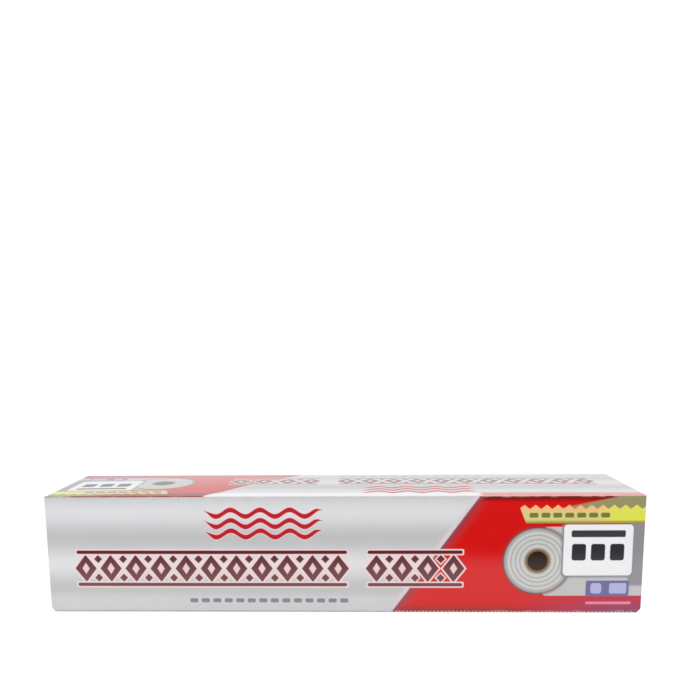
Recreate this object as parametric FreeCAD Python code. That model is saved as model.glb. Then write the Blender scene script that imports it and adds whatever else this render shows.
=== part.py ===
import FreeCAD, Part
import os

# Dispenser carton with a roll of household foil, all sizes in millimetres.
# The origin is under the middle of the carton, on the surface it stands on.
# +X runs along the carton, -Y is the printed front and +Z is up.

# Foil and its core
FOIL_WIDTH = 450.0
ROLL_DIAMETER = 58.0
CORE_DIAMETER = 41.0
CORE_WALL = 1.5
ROLL_END_PLAY = 4.6

# Carton, outside sizes with the lid shut; its length follows from the foil
CARTON_DEPTH = 88.6
CARTON_HEIGHT = 94.2
CARD_THICKNESS = 0.6
FOLD_RADIUS = 0.9

# Gaps between the lid and the tray
EAR_CLEARANCE = 0.4
STRIP_CLEARANCE = 0.55
CREASE_CLEARANCE = 0.35

# Lid
FLAP_RAISED = 2.0
FLAP_CORNER_RADIUS = 3.0
EAR_DROP_FRONT = 30.0
EAR_DROP_BACK = 16.0
EAR_SETBACK = 5.0

# Tray
FRONT_WALL_LOWERED = 1.5
END_PANEL_LOWERED = 0.8
END_PANEL_SETBACK = 1.0
END_PANEL_CORNER = 2.0
GLUE_FLAP_WIDTH = 36.0
GLUE_FLAP_TAPER = 3.0

# Cutting strip
STRIP_END_MARGIN = 5.0
STRIP_HEIGHT = 11.5
STRIP_THICKNESS = 0.25
TOOTH_PITCH = 3.0
TOOTH_HEIGHT = 2.2
TOOTH_TIP_RAISED = 0.5

# Two positions closer than this are one and the same
SAME_PLACE = 0.01

# Derived positions shared by the pieces
WALL_END_X = FOIL_WIDTH / 2.0 + ROLL_END_PLAY + CARD_THICKNESS
END_OUTSIDE_X = WALL_END_X + CARD_THICKNESS
HALF_LENGTH = END_OUTSIDE_X + EAR_CLEARANCE + CARD_THICKNESS
FRONT_Y = -CARTON_DEPTH / 2.0
BACK_Y = CARTON_DEPTH / 2.0
LID_UNDERSIDE_Z = CARTON_HEIGHT - CARD_THICKNESS
FLAP_INSIDE_Y = FRONT_Y + CARD_THICKNESS
TRAY_FRONT_Y = FLAP_INSIDE_Y + STRIP_THICKNESS + STRIP_CLEARANCE
TRAY_TOP_Z = LID_UNDERSIDE_Z - CREASE_CLEARANCE
ROLL_Y = (TRAY_FRONT_Y + BACK_Y) / 2.0
ROLL_Z = CARD_THICKNESS + ROLL_DIAMETER / 2.0


def block(x0, x1, y0, y1, z0, z1):
    return Part.makeBox(x1 - x0, y1 - y0, z1 - z0, FreeCAD.Vector(x0, y0, z0))


def plate_yz(points, x0, x1):
    # A flat plate cut to an outline in the YZ plane.
    wire = Part.makePolygon([FreeCAD.Vector(x0, y, z) for y, z in points + points[:1]])
    return Part.Face(wire).extrude(FreeCAD.Vector(x1 - x0, 0, 0))


def plate_xz(points, y0, y1):
    # A flat plate cut to an outline in the XZ plane.
    wire = Part.makePolygon([FreeCAD.Vector(x, y0, z) for x, z in points + points[:1]])
    return Part.Face(wire).extrude(FreeCAD.Vector(0, y1 - y0, 0))


def round_edges(shape, radius, wanted):
    # Rounds the edges whose middle point passes the test.
    edges = [e for e in shape.Edges if wanted(e.valueAt((e.FirstParameter + e.LastParameter) / 2.0))]
    return shape.makeFillet(radius, edges)


def near(a, b):
    return abs(a - b) < SAME_PLACE


def tube_along_x(radius_out, radius_in):
    # A tube as long as the foil is wide, lying on the tray's bottom.
    start = FreeCAD.Vector(-FOIL_WIDTH / 2.0, ROLL_Y, ROLL_Z)
    along = FreeCAD.Vector(1, 0, 0)
    outer = Part.makeCylinder(radius_out, FOIL_WIDTH, start, along)
    return outer.cut(Part.makeCylinder(radius_in, FOIL_WIDTH, start, along))


def tray_walls():
    # Front, bottom and back in one strip of card, with the long folds rounded.
    outer = block(-WALL_END_X, WALL_END_X, TRAY_FRONT_Y, BACK_Y, 0, TRAY_TOP_Z)
    outer = round_edges(outer, FOLD_RADIUS, lambda m: near(m.x, 0) and near(m.z, 0))
    hollow = block(
        -WALL_END_X, WALL_END_X,
        TRAY_FRONT_Y + CARD_THICKNESS, BACK_Y - CARD_THICKNESS,
        CARD_THICKNESS, TRAY_TOP_Z,
    )
    inner_radius = max(FOLD_RADIUS - CARD_THICKNESS, 0.1)
    hollow = round_edges(hollow, inner_radius, lambda m: near(m.x, 0) and near(m.z, CARD_THICKNESS))
    walls = outer.cut(hollow)
    lowered = block(
        -HALF_LENGTH, HALF_LENGTH, FRONT_Y, TRAY_FRONT_Y + CARD_THICKNESS,
        TRAY_TOP_Z - FRONT_WALL_LOWERED, CARTON_HEIGHT,
    )
    return walls.cut(lowered)


def tray_glue_flaps(side):
    # Flaps turned in from the front and back walls at one end.
    inside, outside = sorted([side * (WALL_END_X - CARD_THICKNESS), side * WALL_END_X])
    top = TRAY_TOP_Z - FRONT_WALL_LOWERED
    low = CARD_THICKNESS
    flaps = []
    for root, inward in ((TRAY_FRONT_Y + CARD_THICKNESS, 1), (BACK_Y - CARD_THICKNESS, -1)):
        tip = root + inward * GLUE_FLAP_WIDTH
        outline = [(root, low), (tip, low + GLUE_FLAP_TAPER), (tip, top - GLUE_FLAP_TAPER), (root, top)]
        flaps.append(plate_yz(outline, inside, outside))
    return flaps


def tray_end_panel(side):
    # Outer end panel turned up from the bottom and glued over the flaps.
    inside, outside = sorted([side * WALL_END_X, side * END_OUTSIDE_X])
    front = TRAY_FRONT_Y + END_PANEL_SETBACK
    back = BACK_Y - END_PANEL_SETBACK
    top = TRAY_TOP_Z - END_PANEL_LOWERED
    corner = END_PANEL_CORNER
    outline = [(front, 0), (back, 0), (back, top - corner), (back - corner, top),
               (front + corner, top), (front, top - corner)]
    panel = plate_yz(outline, inside, outside)
    radius = min(FOLD_RADIUS, CARD_THICKNESS * 0.9)
    return round_edges(panel, radius, lambda m: near(m.z, 0) and near(m.x, side * END_OUTSIDE_X))


def carton_tray():
    pieces = []
    for side in (-1, 1):
        pieces += tray_glue_flaps(side)
        pieces.append(tray_end_panel(side))
    return tray_walls().multiFuse(pieces).removeSplitter()


def lid_ear(side):
    # Ear turned down from the top panel and glued to the end of the flap.
    inside, outside = sorted([side * (HALF_LENGTH - CARD_THICKNESS), side * HALF_LENGTH])
    top = LID_UNDERSIDE_Z
    outline = [(FLAP_INSIDE_Y, top), (FLAP_INSIDE_Y, top - EAR_DROP_FRONT),
               (BACK_Y - EAR_SETBACK - EAR_DROP_BACK, top - EAR_DROP_BACK), (BACK_Y - EAR_SETBACK, top)]
    return plate_yz(outline, inside, outside)


def carton_lid():
    # Top panel and front flap in one strip of card, hinged on the back crease.
    outer = block(-HALF_LENGTH, HALF_LENGTH, FRONT_Y, BACK_Y, FLAP_RAISED, CARTON_HEIGHT)
    outer = round_edges(outer, FOLD_RADIUS,
                        lambda m: near(m.x, 0) and near(m.y, FRONT_Y) and near(m.z, CARTON_HEIGHT))
    hollow = block(-HALF_LENGTH, HALF_LENGTH, FLAP_INSIDE_Y, BACK_Y, FLAP_RAISED, LID_UNDERSIDE_Z)
    inner_radius = max(FOLD_RADIUS - CARD_THICKNESS, 0.1)
    hollow = round_edges(hollow, inner_radius,
                         lambda m: near(m.x, 0) and near(m.y, FLAP_INSIDE_Y) and near(m.z, LID_UNDERSIDE_Z))
    lid = outer.cut(hollow)
    lid = round_edges(lid, FLAP_CORNER_RADIUS,
                      lambda m: near(m.z, FLAP_RAISED) and near(abs(m.x), HALF_LENGTH))
    return lid.multiFuse([lid_ear(-1), lid_ear(1)]).removeSplitter()


def foil_roll():
    return tube_along_x(ROLL_DIAMETER / 2.0, CORE_DIAMETER / 2.0)


def core_tube():
    return tube_along_x(CORE_DIAMETER / 2.0, CORE_DIAMETER / 2.0 - CORE_WALL)


def cutter_strip():
    # Sawtooth steel strip on the inside of the flap, teeth just past its edge.
    teeth = int(2.0 * (HALF_LENGTH - STRIP_END_MARGIN) / TOOTH_PITCH)
    start = -teeth * TOOTH_PITCH / 2.0
    root = TOOTH_TIP_RAISED + TOOTH_HEIGHT
    top = TOOTH_TIP_RAISED + STRIP_HEIGHT
    outline = []
    for n in range(teeth):
        x = start + n * TOOTH_PITCH
        outline += [(x, root), (x + TOOTH_PITCH / 2.0, TOOTH_TIP_RAISED)]
    outline += [(-start, root), (-start, top), (start, top)]
    return plate_xz(outline, FLAP_INSIDE_Y, FLAP_INSIDE_Y + STRIP_THICKNESS)


os.makedirs("parts", exist_ok=True)
for name, shape in (
    ("carton_tray", carton_tray()),
    ("carton_lid", carton_lid()),
    ("foil_roll", foil_roll()),
    ("core_tube", core_tube()),
    ("cutter_strip", cutter_strip()),
):
    shape.exportStep("parts/" + name + ".step")
    box = shape.BoundBox
    print(name, shape.ShapeType, len(shape.Solids), shape.isValid(), round(shape.Volume, 1),
          [round(v, 2) for v in (box.XMin, box.XMax, box.YMin, box.YMax, box.ZMin, box.ZMax)])
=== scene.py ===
# %% [markdown]
# # A foil carton of folded card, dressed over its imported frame
# The frame holds the carton's solids in metres, with the lid hinged on its back crease.
# Each piece below follows the box of the solid that it stands for and rides on the body that
# carries it, so the lid still opens. Lengths are worked out in millimetres, because a carton
# maker thinks in them, and they turn to metres once, when a mesh is made.

# %% Load the frame
import math
import bpy
import bmesh
from mathutils import Matrix, Vector, noise


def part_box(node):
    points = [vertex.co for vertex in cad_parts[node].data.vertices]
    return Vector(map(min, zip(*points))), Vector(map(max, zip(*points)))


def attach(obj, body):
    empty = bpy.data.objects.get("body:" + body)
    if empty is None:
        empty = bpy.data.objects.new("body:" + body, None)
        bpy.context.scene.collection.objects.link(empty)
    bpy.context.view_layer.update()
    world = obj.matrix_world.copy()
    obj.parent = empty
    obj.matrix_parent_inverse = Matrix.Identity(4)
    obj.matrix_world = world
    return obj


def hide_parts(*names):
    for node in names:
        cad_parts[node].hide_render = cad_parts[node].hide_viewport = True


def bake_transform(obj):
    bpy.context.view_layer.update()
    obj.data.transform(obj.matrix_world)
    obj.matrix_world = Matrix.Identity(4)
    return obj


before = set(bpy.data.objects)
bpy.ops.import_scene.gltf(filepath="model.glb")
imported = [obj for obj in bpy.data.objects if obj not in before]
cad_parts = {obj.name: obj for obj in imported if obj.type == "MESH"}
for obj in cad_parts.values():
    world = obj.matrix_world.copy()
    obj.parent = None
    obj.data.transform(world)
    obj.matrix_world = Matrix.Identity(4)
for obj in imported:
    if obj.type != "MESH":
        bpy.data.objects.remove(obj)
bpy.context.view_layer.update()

# %% Sizes that everything shares, in millimetres
MM = 0.001


def box_mm(node):
    low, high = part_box(node)
    return low / MM, high / MM


lid_low, lid_high = box_mm("carton_lid")
tray_low, tray_high = box_mm("carton_tray")
roll_low, roll_high = box_mm("foil_roll")
core_low, core_high = box_mm("core_tube")
LENGTH_HALF = lid_high.x
FRONT_Y = lid_low.y
BACK_Y = lid_high.y
TOP_Z = lid_high.z
CARD = 0.6
FOLD = 0.9
TOUCH = 0.05
print("carton %.1f x %.1f x %.1f mm" % (2 * LENGTH_HALF, BACK_Y - FRONT_Y, TOP_Z))

# %% [markdown]
# ## Camera
# The photograph looks slightly down on the long front from a little over half a metre away.
# Place, tilt and focal length come from six corners of the carton, measured in a 675 pixel
# frame. The carton sits low in that frame with its upright edges nearly parallel, which a
# shifted lens gives and a tilted one doesn't.

# %% Camera
CAMERA_PLACE = Vector((13.45, -575.88, 208.6)) * MM
CAMERA_PITCH = math.radians(8.332)
CAMERA_YAW = math.radians(1.745)
CAMERA_ROLL = math.radians(-0.543)
FOCAL_PIXELS = 705.6
FRAME_PIXELS = 675
SENSOR_MM = 36.0
SHIFT_UP = 0.165
NEAREST_SEEN = 10 * MM

camera_data = bpy.data.cameras.new("camera")
camera_data.sensor_width = SENSOR_MM
camera_data.lens = FOCAL_PIXELS / FRAME_PIXELS * SENSOR_MM
camera_data.shift_y = SHIFT_UP
camera_data.clip_start = NEAREST_SEEN
camera = bpy.data.objects.new("camera", camera_data)
turn = Matrix.Rotation(CAMERA_YAW, 4, "Z") @ Matrix.Rotation(math.pi / 2 - CAMERA_PITCH, 4, "X")
camera.matrix_world = Matrix.Translation(CAMERA_PLACE) @ turn @ Matrix.Rotation(CAMERA_ROLL, 4, "Z")
bpy.context.collection.objects.link(camera)
bpy.context.scene.camera = camera
print("lens %.2f mm" % camera_data.lens)

# %% [markdown]
# ## Node helpers
# A material is a graph of nodes. One function adds a node, sets it and links its inputs. Another
# turns a written sRGB colour into the linear one that a shader expects.

# %% Helpers for colours and nodes


def linear(hex_colour):
    parts = [int(hex_colour[n:n + 2], 16) / 255 for n in (1, 3, 5)]
    return tuple(c / 12.92 if c <= 0.04045 else ((c + 0.055) / 1.055) ** 2.4 for c in parts) + (1.0,)


def add(tree, kind, inputs=None, **settings):
    node = tree.nodes.new("ShaderNode" + kind)
    for name, value in settings.items():
        setattr(node, name, value)
    for socket, value in (inputs or {}).items():
        if isinstance(value, bpy.types.NodeSocket):
            tree.links.new(value, node.inputs[socket])
        elif isinstance(value, bpy.types.Node):
            tree.links.new(value.outputs[0], node.inputs[socket])
        else:
            node.inputs[socket].default_value = value
    return node


def new_material(name):
    material = bpy.data.materials.new(name)
    material.use_nodes = True
    material.node_tree.nodes.clear()
    return material, material.node_tree


def surface(tree, inputs):
    shader = add(tree, "BsdfPrincipled", inputs)
    add(tree, "OutputMaterial", {"Surface": shader})
    return shader


def object_mm(tree):
    # A piece's own coordinates in millimetres, so that a pattern's scale is a real size.
    place = add(tree, "TexCoord").outputs["Object"]
    return add(tree, "VectorMath", {0: place, "Scale": 1 / MM}, operation="SCALE").outputs[0]


print("red ink as linear:", [round(c, 3) for c in linear("#d60c0b")])

# %% [markdown]
# ## Table, studio and lamps
# The photograph is cut out on pure white, so the camera sees a white table and a white studio.
# The carton's gloss tells more: its top is washed with white, which a bright wall behind gives,
# and only the lower half of its front is, so the table in front ends after about 15 cm.
# The lamps are large and soft, and lit so that a colour renders about as it is written.

# %% Table
TABLE_HALF = 4.0
TABLE_DROP_MM = 0.1
TABLE_EDGE_MM = 150.0
TABLE_EDGE_BLUR_MM = 14.0


def painted_table():
    material, tree = new_material("white_painted_table")
    across = add(tree, "SeparateXYZ", {"Vector": add(tree, "NewGeometry").outputs["Position"]})
    edge = (FRONT_Y - TABLE_EDGE_MM) * MM
    blur = TABLE_EDGE_BLUR_MM * MM
    near = add(tree, "MapRange", {"Value": across.outputs["Y"], "From Min": edge - blur,
                                  "From Max": edge + blur}, interpolation_type="SMOOTHSTEP")
    rays = add(tree, "LightPath")
    white = add(tree, "BsdfDiffuse", {"Color": linear("#f4f4f4")})
    mirrored = add(tree, "Emission", {"Color": linear("#ffffff"), "Strength": near})
    glow = add(tree, "Emission", {"Color": linear("#ffffff"), "Strength": 0.9})
    shade = add(tree, "BsdfDiffuse", {"Color": linear("#808080")})
    seen = add(tree, "AddShader", {0: glow, 1: shade})
    unseen = add(tree, "MixShader", {0: rays.outputs["Is Glossy Ray"], 1: white, 2: mirrored})
    finish = add(tree, "MixShader", {0: rays.outputs["Is Camera Ray"], 1: unseen, 2: seen})
    add(tree, "OutputMaterial", {"Surface": finish})
    return material


table_mesh = bpy.data.meshes.new("table")
table_mesh.from_pydata([(x * TABLE_HALF, y * TABLE_HALF, -TABLE_DROP_MM * MM) for x, y in
                        ((-1, -1), (1, -1), (1, 1), (-1, 1))], [], [(0, 1, 2, 3)])
table_mesh.materials.append(painted_table())
table = bpy.data.objects.new("table", table_mesh)
bpy.context.collection.objects.link(table)
print("table mirrored from %.0f mm" % (FRONT_Y - TABLE_EDGE_MM))

# %% Studio and lamps
LAMP_AIM = Vector((0, 0, 50)) * MM


def white_studio():
    # Bright where a ray looks at it or mirrors it, and dimmer as a light on the carton.
    world = bpy.data.worlds.new("white_studio")
    world.use_nodes = True
    tree = world.node_tree
    tree.nodes.clear()
    rays = add(tree, "LightPath")
    shown = add(tree, "Math", {0: rays.outputs["Is Camera Ray"], 1: rays.outputs["Is Glossy Ray"]},
                operation="MAXIMUM")
    shown = add(tree, "Math", {0: shown, 1: rays.outputs["Is Transmission Ray"]}, operation="MAXIMUM")
    soft = add(tree, "Background", {"Color": linear("#f7f8fa"), "Strength": 0.6})
    white = add(tree, "Background", {"Color": linear("#ffffff"), "Strength": 1.0})
    add(tree, "OutputWorld", {"Surface": add(tree, "MixShader", {0: shown, 1: soft, 2: white})})
    return world


def softbox(name, place, size, watts):
    data = bpy.data.lights.new(name, "AREA")
    data.shape = "RECTANGLE"
    data.size, data.size_y = size
    data.energy = watts
    lamp = bpy.data.objects.new(name, data)
    lamp.location = place
    aim = LAMP_AIM - Vector(place)
    lamp.rotation_euler = aim.to_track_quat("-Z", "Y").to_euler()
    lamp.visible_glossy = False
    bpy.context.collection.objects.link(lamp)


bpy.context.scene.world = white_studio()
softbox("front_softbox", (-0.4, -1.5, 1.2), (1.6, 1.0), 17.0)
softbox("top_softbox", (0.2, 0.4, 1.7), (1.6, 1.2), 6.0)
bpy.context.scene.view_settings.view_transform = "Standard"

# %% [markdown]
# ## The print, as masks in millimetres
# The carton's sheet is printed flat before it is folded, so its artwork is laid out in
# millimetres on that sheet: u runs along the carton and v up the front. Each panel's mesh
# carries those two numbers in a UV layer. A shape of the print is then a mask, 1 inside the
# shape and 0 outside, with an edge as soft as the ink's spread. No picture is needed, and the
# print stays sharp at any distance.

# %% Masks for the shapes of a print
INK_SPREAD = 0.35


def sheet_place(tree):
    return add(tree, "UVMap", uv_map="print_mm").outputs["UV"]


def step_up(tree, value, start, end):
    # 0 before start, 1 after end, and an even slope between them, rounded at both.
    return add(tree, "MapRange", {"Value": value, "From Min": start, "From Max": end},
               interpolation_type="SMOOTHSTEP").outputs[0]


def within(tree, gap):
    # 1 where the gap to a shape's edge is negative.
    return step_up(tree, gap, INK_SPREAD, -INK_SPREAD)


def panel(tree, place, centre, half, corner=1.0, blur=INK_SPREAD):
    away = add(tree, "VectorMath", {0: place, 1: (*centre, 0)}, operation="SUBTRACT")
    away = add(tree, "VectorMath", {0: away}, operation="ABSOLUTE")
    straight = (half[0] - corner, half[1] - corner, 0)
    away = add(tree, "VectorMath", {0: away, 1: straight}, operation="SUBTRACT")
    away = add(tree, "VectorMath", {0: away, 1: (0, 0, 0)}, operation="MAXIMUM")
    gap = add(tree, "VectorMath", {0: away}, operation="LENGTH").outputs["Value"]
    return step_up(tree, gap, corner + blur, corner - blur)


def diamond(tree, place, centre, half, grow=0.0):
    away = add(tree, "VectorMath", {0: place, 1: (*centre, 0)}, operation="SUBTRACT")
    away = add(tree, "VectorMath", {0: away}, operation="ABSOLUTE")
    slope = math.hypot(1 / half[0], 1 / half[1])
    facing = (1 / half[0] / slope, 1 / half[1] / slope, 0)
    reach = add(tree, "VectorMath", {0: away, 1: facing}, operation="DOT_PRODUCT").outputs["Value"]
    return step_up(tree, reach, 1 / slope + grow + INK_SPREAD, 1 / slope + grow - INK_SPREAD)


def in_cells(tree, place, middle, pitch):
    # The same place, with u measured from the middle of the nearest cell of a row.
    parts = add(tree, "SeparateXYZ", {"Vector": place})
    along = add(tree, "Math", {0: parts.outputs["X"], 1: middle}, operation="SUBTRACT")
    along = add(tree, "Math", {0: along, 1: pitch / 2}, operation="PINGPONG")
    return add(tree, "CombineXYZ", {"X": along, "Y": parts.outputs["Y"]}).outputs[0]


def both(tree, first, second):
    return add(tree, "Math", {0: first, 1: second}, operation="MULTIPLY").outputs[0]


def ink(tree, under, colour, mask):
    # One ink over what is already printed, where the mask is 1.
    colour = linear(colour) if isinstance(colour, str) else colour
    under = linear(under) if isinstance(under, str) else under
    return add(tree, "Mix", {"Factor": mask, 6: under, 7: colour}, data_type="RGBA").outputs[2]


print("ink spreads over %.1f mm" % (2 * INK_SPREAD))

# %% [markdown]
# ### Silver ground and red field
# The ground is a silver-grey tint whose tone swells and fades in even bands along the carton,
# to look like polished foil. On it, painted shade darkens the grey along the front fold, and a
# painted highlight lightens it towards the front's lower edge. The red field starts on a slanted
# line. Its edge isn't hard: a pale bloom, a thin mauve line and a duller red come before the full
# red.

# %% Silver ground and red field
SILVER_BAND = 40.5
SILVER_DARK_V = 20.5
FIELD_FOOT_U = 38.5
FIELD_LEAN = 0.73
FIELD_HEAD_U = FIELD_FOOT_U + FIELD_LEAN * TOP_Z


def silver_ground_and_painted_edge_light(tree, v):
    swing = add(tree, "Math", {0: v, 1: SILVER_DARK_V}, operation="SUBTRACT")
    swing = add(tree, "Math", {0: swing, 1: SILVER_BAND / 2}, operation="PINGPONG")
    silver = ink(tree, "#c0c0c0", "#dddddf", step_up(tree, swing, 0.0, SILVER_BAND / 2))
    # Painted shade: the grey is darker along the front fold.
    silver = ink(tree, silver, "#c6c6c6", step_up(tree, v, 90.5, 94.0))
    # Painted highlight: the grey is lighter towards the front's lower edge.
    return ink(tree, silver, "#cfcfd1", step_up(tree, v, 18.0, 9.0))


def into_field(tree, u, v):
    # Distance past the slanted edge of the red field.
    lean = add(tree, "Math", {0: v, 1: -FIELD_LEAN, 2: u}, operation="MULTIPLY_ADD")
    length = math.hypot(1, FIELD_LEAN)
    return add(tree, "Math", {0: lean, 1: 1 / length, 2: -FIELD_FOOT_U / length},
               operation="MULTIPLY_ADD").outputs[0]


def red_field(tree, ground, u, v):
    past_edge = into_field(tree, u, v)
    for colour, start, end in (("#dcd0d3", -6.0, -1.5), ("#8f4556", -1.4, 0.1),
                               ("#bf2f34", 0.5, 2.2), ("#d60c0b", 2.0, 10.0)):
        ground = ink(tree, ground, colour, step_up(tree, past_edge, start, end))
    low_end = both(tree, step_up(tree, u, 120.0, 225.0), step_up(tree, v, 20.0, 2.0))
    return ink(tree, ground, "#9b3e66", low_end)


def red_painted_edge_shade(tree, ground, u, v):
    # Painted shade: the red is painted darker along the flap's fold and along its lower edge.
    inside = step_up(tree, into_field(tree, u, v), 2.0, 4.0)
    ground = ink(tree, ground, "#86130b", both(tree, inside, step_up(tree, v, 88.0, 92.5)))
    inside = both(tree, inside, step_up(tree, u, 190.0, 120.0))
    return ink(tree, ground, "#a0221e", both(tree, inside, step_up(tree, v, 8.5, 1.5)))


def top_painted_fold_light(tree, ground, u, v):
    # Painted light along the front fold: a painted highlight brightens the top's silver, and painted
    # shade darkens its red. Where the front is red, a painted salmon highlight of it comes round the fold.
    parts = add(tree, "SeparateXYZ", {"Vector": object_mm(tree)})
    near_fold = both(tree, step_up(tree, parts.outputs["Z"], TOP_Z - 0.4, TOP_Z - 0.1),
                     step_up(tree, v, 80.0, 88.0))
    in_red = step_up(tree, into_field(tree, u, v), -1.0, 2.0)
    over_red = step_up(tree, u, -FIELD_HEAD_U + 3.0, -FIELD_HEAD_U - 3.0)
    # Painted highlight on the silver, painted salmon highlight over the red front, painted shade on the
    # red.
    edge = ink(tree, "#f6f3f4", "#e58886", over_red)
    edge = ink(tree, edge, "#86241c", in_red)
    return ink(tree, ground, edge, near_fold)


print("the field's edge runs from u %.1f to %.1f mm" % (FIELD_FOOT_U, FIELD_HEAD_U))

# %% [markdown]
# ### Lines, diamonds and dashes
# The carton's front carries a plain design: three wavy red lines, a row of maroon diamonds
# between two thin rails, and small grey dashes. A row is one shape in a cell that repeats, so
# its count costs nothing.

# %% Wavy lines and rows of diamonds and dashes
WAVE_LENGTH = 23.0
WAVE_HEIGHT = 2.6
WAVE_SPACING = 8.2
WAVE_THICKNESS = 3.8
WAVE_TAPER = 9.0
WAVE_BLOOM = 1.2
WAVES_MIDDLE = (-61.0, 72.5)
WAVES_HALF = 47.0
DIAMOND_PITCH = 19.9
DIAMOND_MIDDLE_V = 36.5
DIAMOND_HALF = (8.5, 11.1)
DIAMOND_RIM = 1.3
DIAMOND_EYE_HALF = (2.9, 4.6)
SMALL_OFFSET = 7.6
SMALL_HALF = (3.3, 3.4)
SMALL_RIM = 1.0
ROW_REACH_V = 20.0
INNER_INSET = 0.7 * DIAMOND_PITCH
RAIL_OFFSET = 13.1
RAIL_HALF = 1.4
RAIL_RIM = 1.1
RAIL_INSET = 3.0
DASH_PITCH = 9.12
DASH_V = 10.4
FIRST_DASH_U = -117.1
DASH_ROW_MIDDLE = (-58.0, DASH_V)
DASH_ROW_HALF = (63.8, 4.0)
DASH_HALF = (3.2, 1.7)

# The first diamond's u in each row, and how many diamonds follow one another.
LONG_ROW = (-202.05, 11)
SHORT_ROW = (26.8, 4)


def wavy_lines(tree, ground, u, v):
    phase = add(tree, "Math", {0: u, 1: 2 * math.pi / WAVE_LENGTH}, operation="MULTIPLY")
    swing = add(tree, "Math", {0: phase}, operation="SINE")
    level = add(tree, "Math", {0: swing, 1: -WAVE_HEIGHT, 2: v}, operation="MULTIPLY_ADD")
    level = add(tree, "Math", {0: level, 1: WAVES_MIDDLE[1]}, operation="SUBTRACT")
    away = add(tree, "Math", {0: level, 1: WAVE_SPACING / 2}, operation="PINGPONG")
    from_middle = add(tree, "Math", {0: u, 1: WAVES_MIDDLE[0]}, operation="SUBTRACT")
    from_middle = add(tree, "Math", {0: from_middle}, operation="ABSOLUTE")
    taper = step_up(tree, from_middle, WAVES_HALF - WAVE_TAPER, WAVES_HALF)
    away = add(tree, "Math", {0: taper, 1: WAVE_THICKNESS / 2, 2: away}, operation="MULTIPLY_ADD")
    three = step_up(tree, add(tree, "Math", {0: level}, operation="ABSOLUTE"),
                    WAVE_SPACING * 1.5 + 0.1, WAVE_SPACING * 1.5 - 0.1)
    where = both(tree, three, step_up(tree, from_middle, WAVES_HALF + 0.1, WAVES_HALF - 0.1))
    bloom = step_up(tree, away, WAVE_THICKNESS / 2 + WAVE_BLOOM, WAVE_THICKNESS / 2)
    ground = ink(tree, ground, "#efd3d2", both(tree, where, bloom))
    line = step_up(tree, away, WAVE_THICKNESS / 2 + INK_SPREAD, WAVE_THICKNESS / 2 - INK_SPREAD)
    return ink(tree, ground, "#bf1d2b", both(tree, where, line))


def diamond_row(tree, ground, place, v, first_u, count):
    middle = (first_u + (count - 1) / 2 * DIAMOND_PITCH, DIAMOND_MIDDLE_V)
    half_length = count / 2 * DIAMOND_PITCH
    where = panel(tree, place, middle, (half_length, ROW_REACH_V))
    cell = in_cells(tree, place, first_u, DIAMOND_PITCH)
    between = in_cells(tree, place, first_u + DIAMOND_PITCH / 2, DIAMOND_PITCH)
    inner = panel(tree, place, middle, (half_length - INNER_INSET, ROW_REACH_V))
    centre = (0, DIAMOND_MIDDLE_V)
    maroon = ink(tree, "#6e4248", "#5f1f28", step_up(tree, v, 22.0, 50.0))
    rim = both(tree, where, diamond(tree, cell, centre, DIAMOND_HALF, DIAMOND_RIM))
    ground = ink(tree, ground, "#f2d4d2", rim)
    ground = ink(tree, ground, maroon, both(tree, where, diamond(tree, cell, centre, DIAMOND_HALF)))
    eye = diamond(tree, cell, centre, DIAMOND_EYE_HALF)
    ground = ink(tree, ground, "#edc9c8", both(tree, where, eye))
    for side in (-1, 1):
        small = (0, DIAMOND_MIDDLE_V + side * SMALL_OFFSET)
        rim = both(tree, inner, diamond(tree, between, small, SMALL_HALF, SMALL_RIM))
        ground = ink(tree, ground, "#f2d4d2", rim)
        ground = ink(tree, ground, maroon, both(tree, inner, diamond(tree, between, small, SMALL_HALF)))
        rail = (middle[0], DIAMOND_MIDDLE_V + side * RAIL_OFFSET)
        for colour, grow in (("#f2d4d2", RAIL_RIM), (maroon, 0.0)):
            half = (half_length - RAIL_INSET + grow, RAIL_HALF + grow)
            ground = ink(tree, ground, colour, panel(tree, place, rail, half, RAIL_HALF))
    return ground


def small_dashes(tree, ground, place):
    where = panel(tree, place, DASH_ROW_MIDDLE, DASH_ROW_HALF)
    cell = in_cells(tree, place, FIRST_DASH_U, DASH_PITCH)
    dash = panel(tree, cell, (0, DASH_V), DASH_HALF, 1.2)
    return ink(tree, ground, "#85868c", both(tree, where, dash))


print("diamonds every %.1f mm, dashes every %.2f mm" % (DIAMOND_PITCH, DASH_PITCH))

# %% [markdown]
# ### Yellow band and end-on disc
# At the right a yellow band with a zigzag top edge hints at the cutting strip. Below it lies a
# grey sheet with an end-on disc of turns, a white panel with a plain bar and rounded squares,
# and a small blue-violet bar over a thin pink line.

# %% Yellow band, disc and panels
BAND_LOW_V = 72.4
TOOTH_LOW_V = 83.4
TOOTH_HIGH_V = 86.7
TOOTH_PITCH = 8.5
BAND_LEFT_U = 135.7
BAND_TOP_V = 86.0
BAND_LEAN = 0.4
OLIVE_SLOPE = 4.9
OLIVE_START = (180.0, 87.0)
BAND_DASH_V = 78.6
BAND_DASH_PITCH = 9.05
FIRST_BAND_DASH_U = 147.3
BAND_DASH_HALF = (3.4, 1.9)
BAND_DASHES = ((174.6, BAND_DASH_V), (31.6, 4.0))
DISC_MIDDLE = (151.0, 42.5)
DISC_RADIUS = 26.0
RING_PITCH = 3.4

# Radii where the brown ring's ink, and the dark hole's, begins and where it is full.
DISC_CORE = (10.0, 9.3)
DISC_HOLE = (8.1, 7.4)

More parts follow.
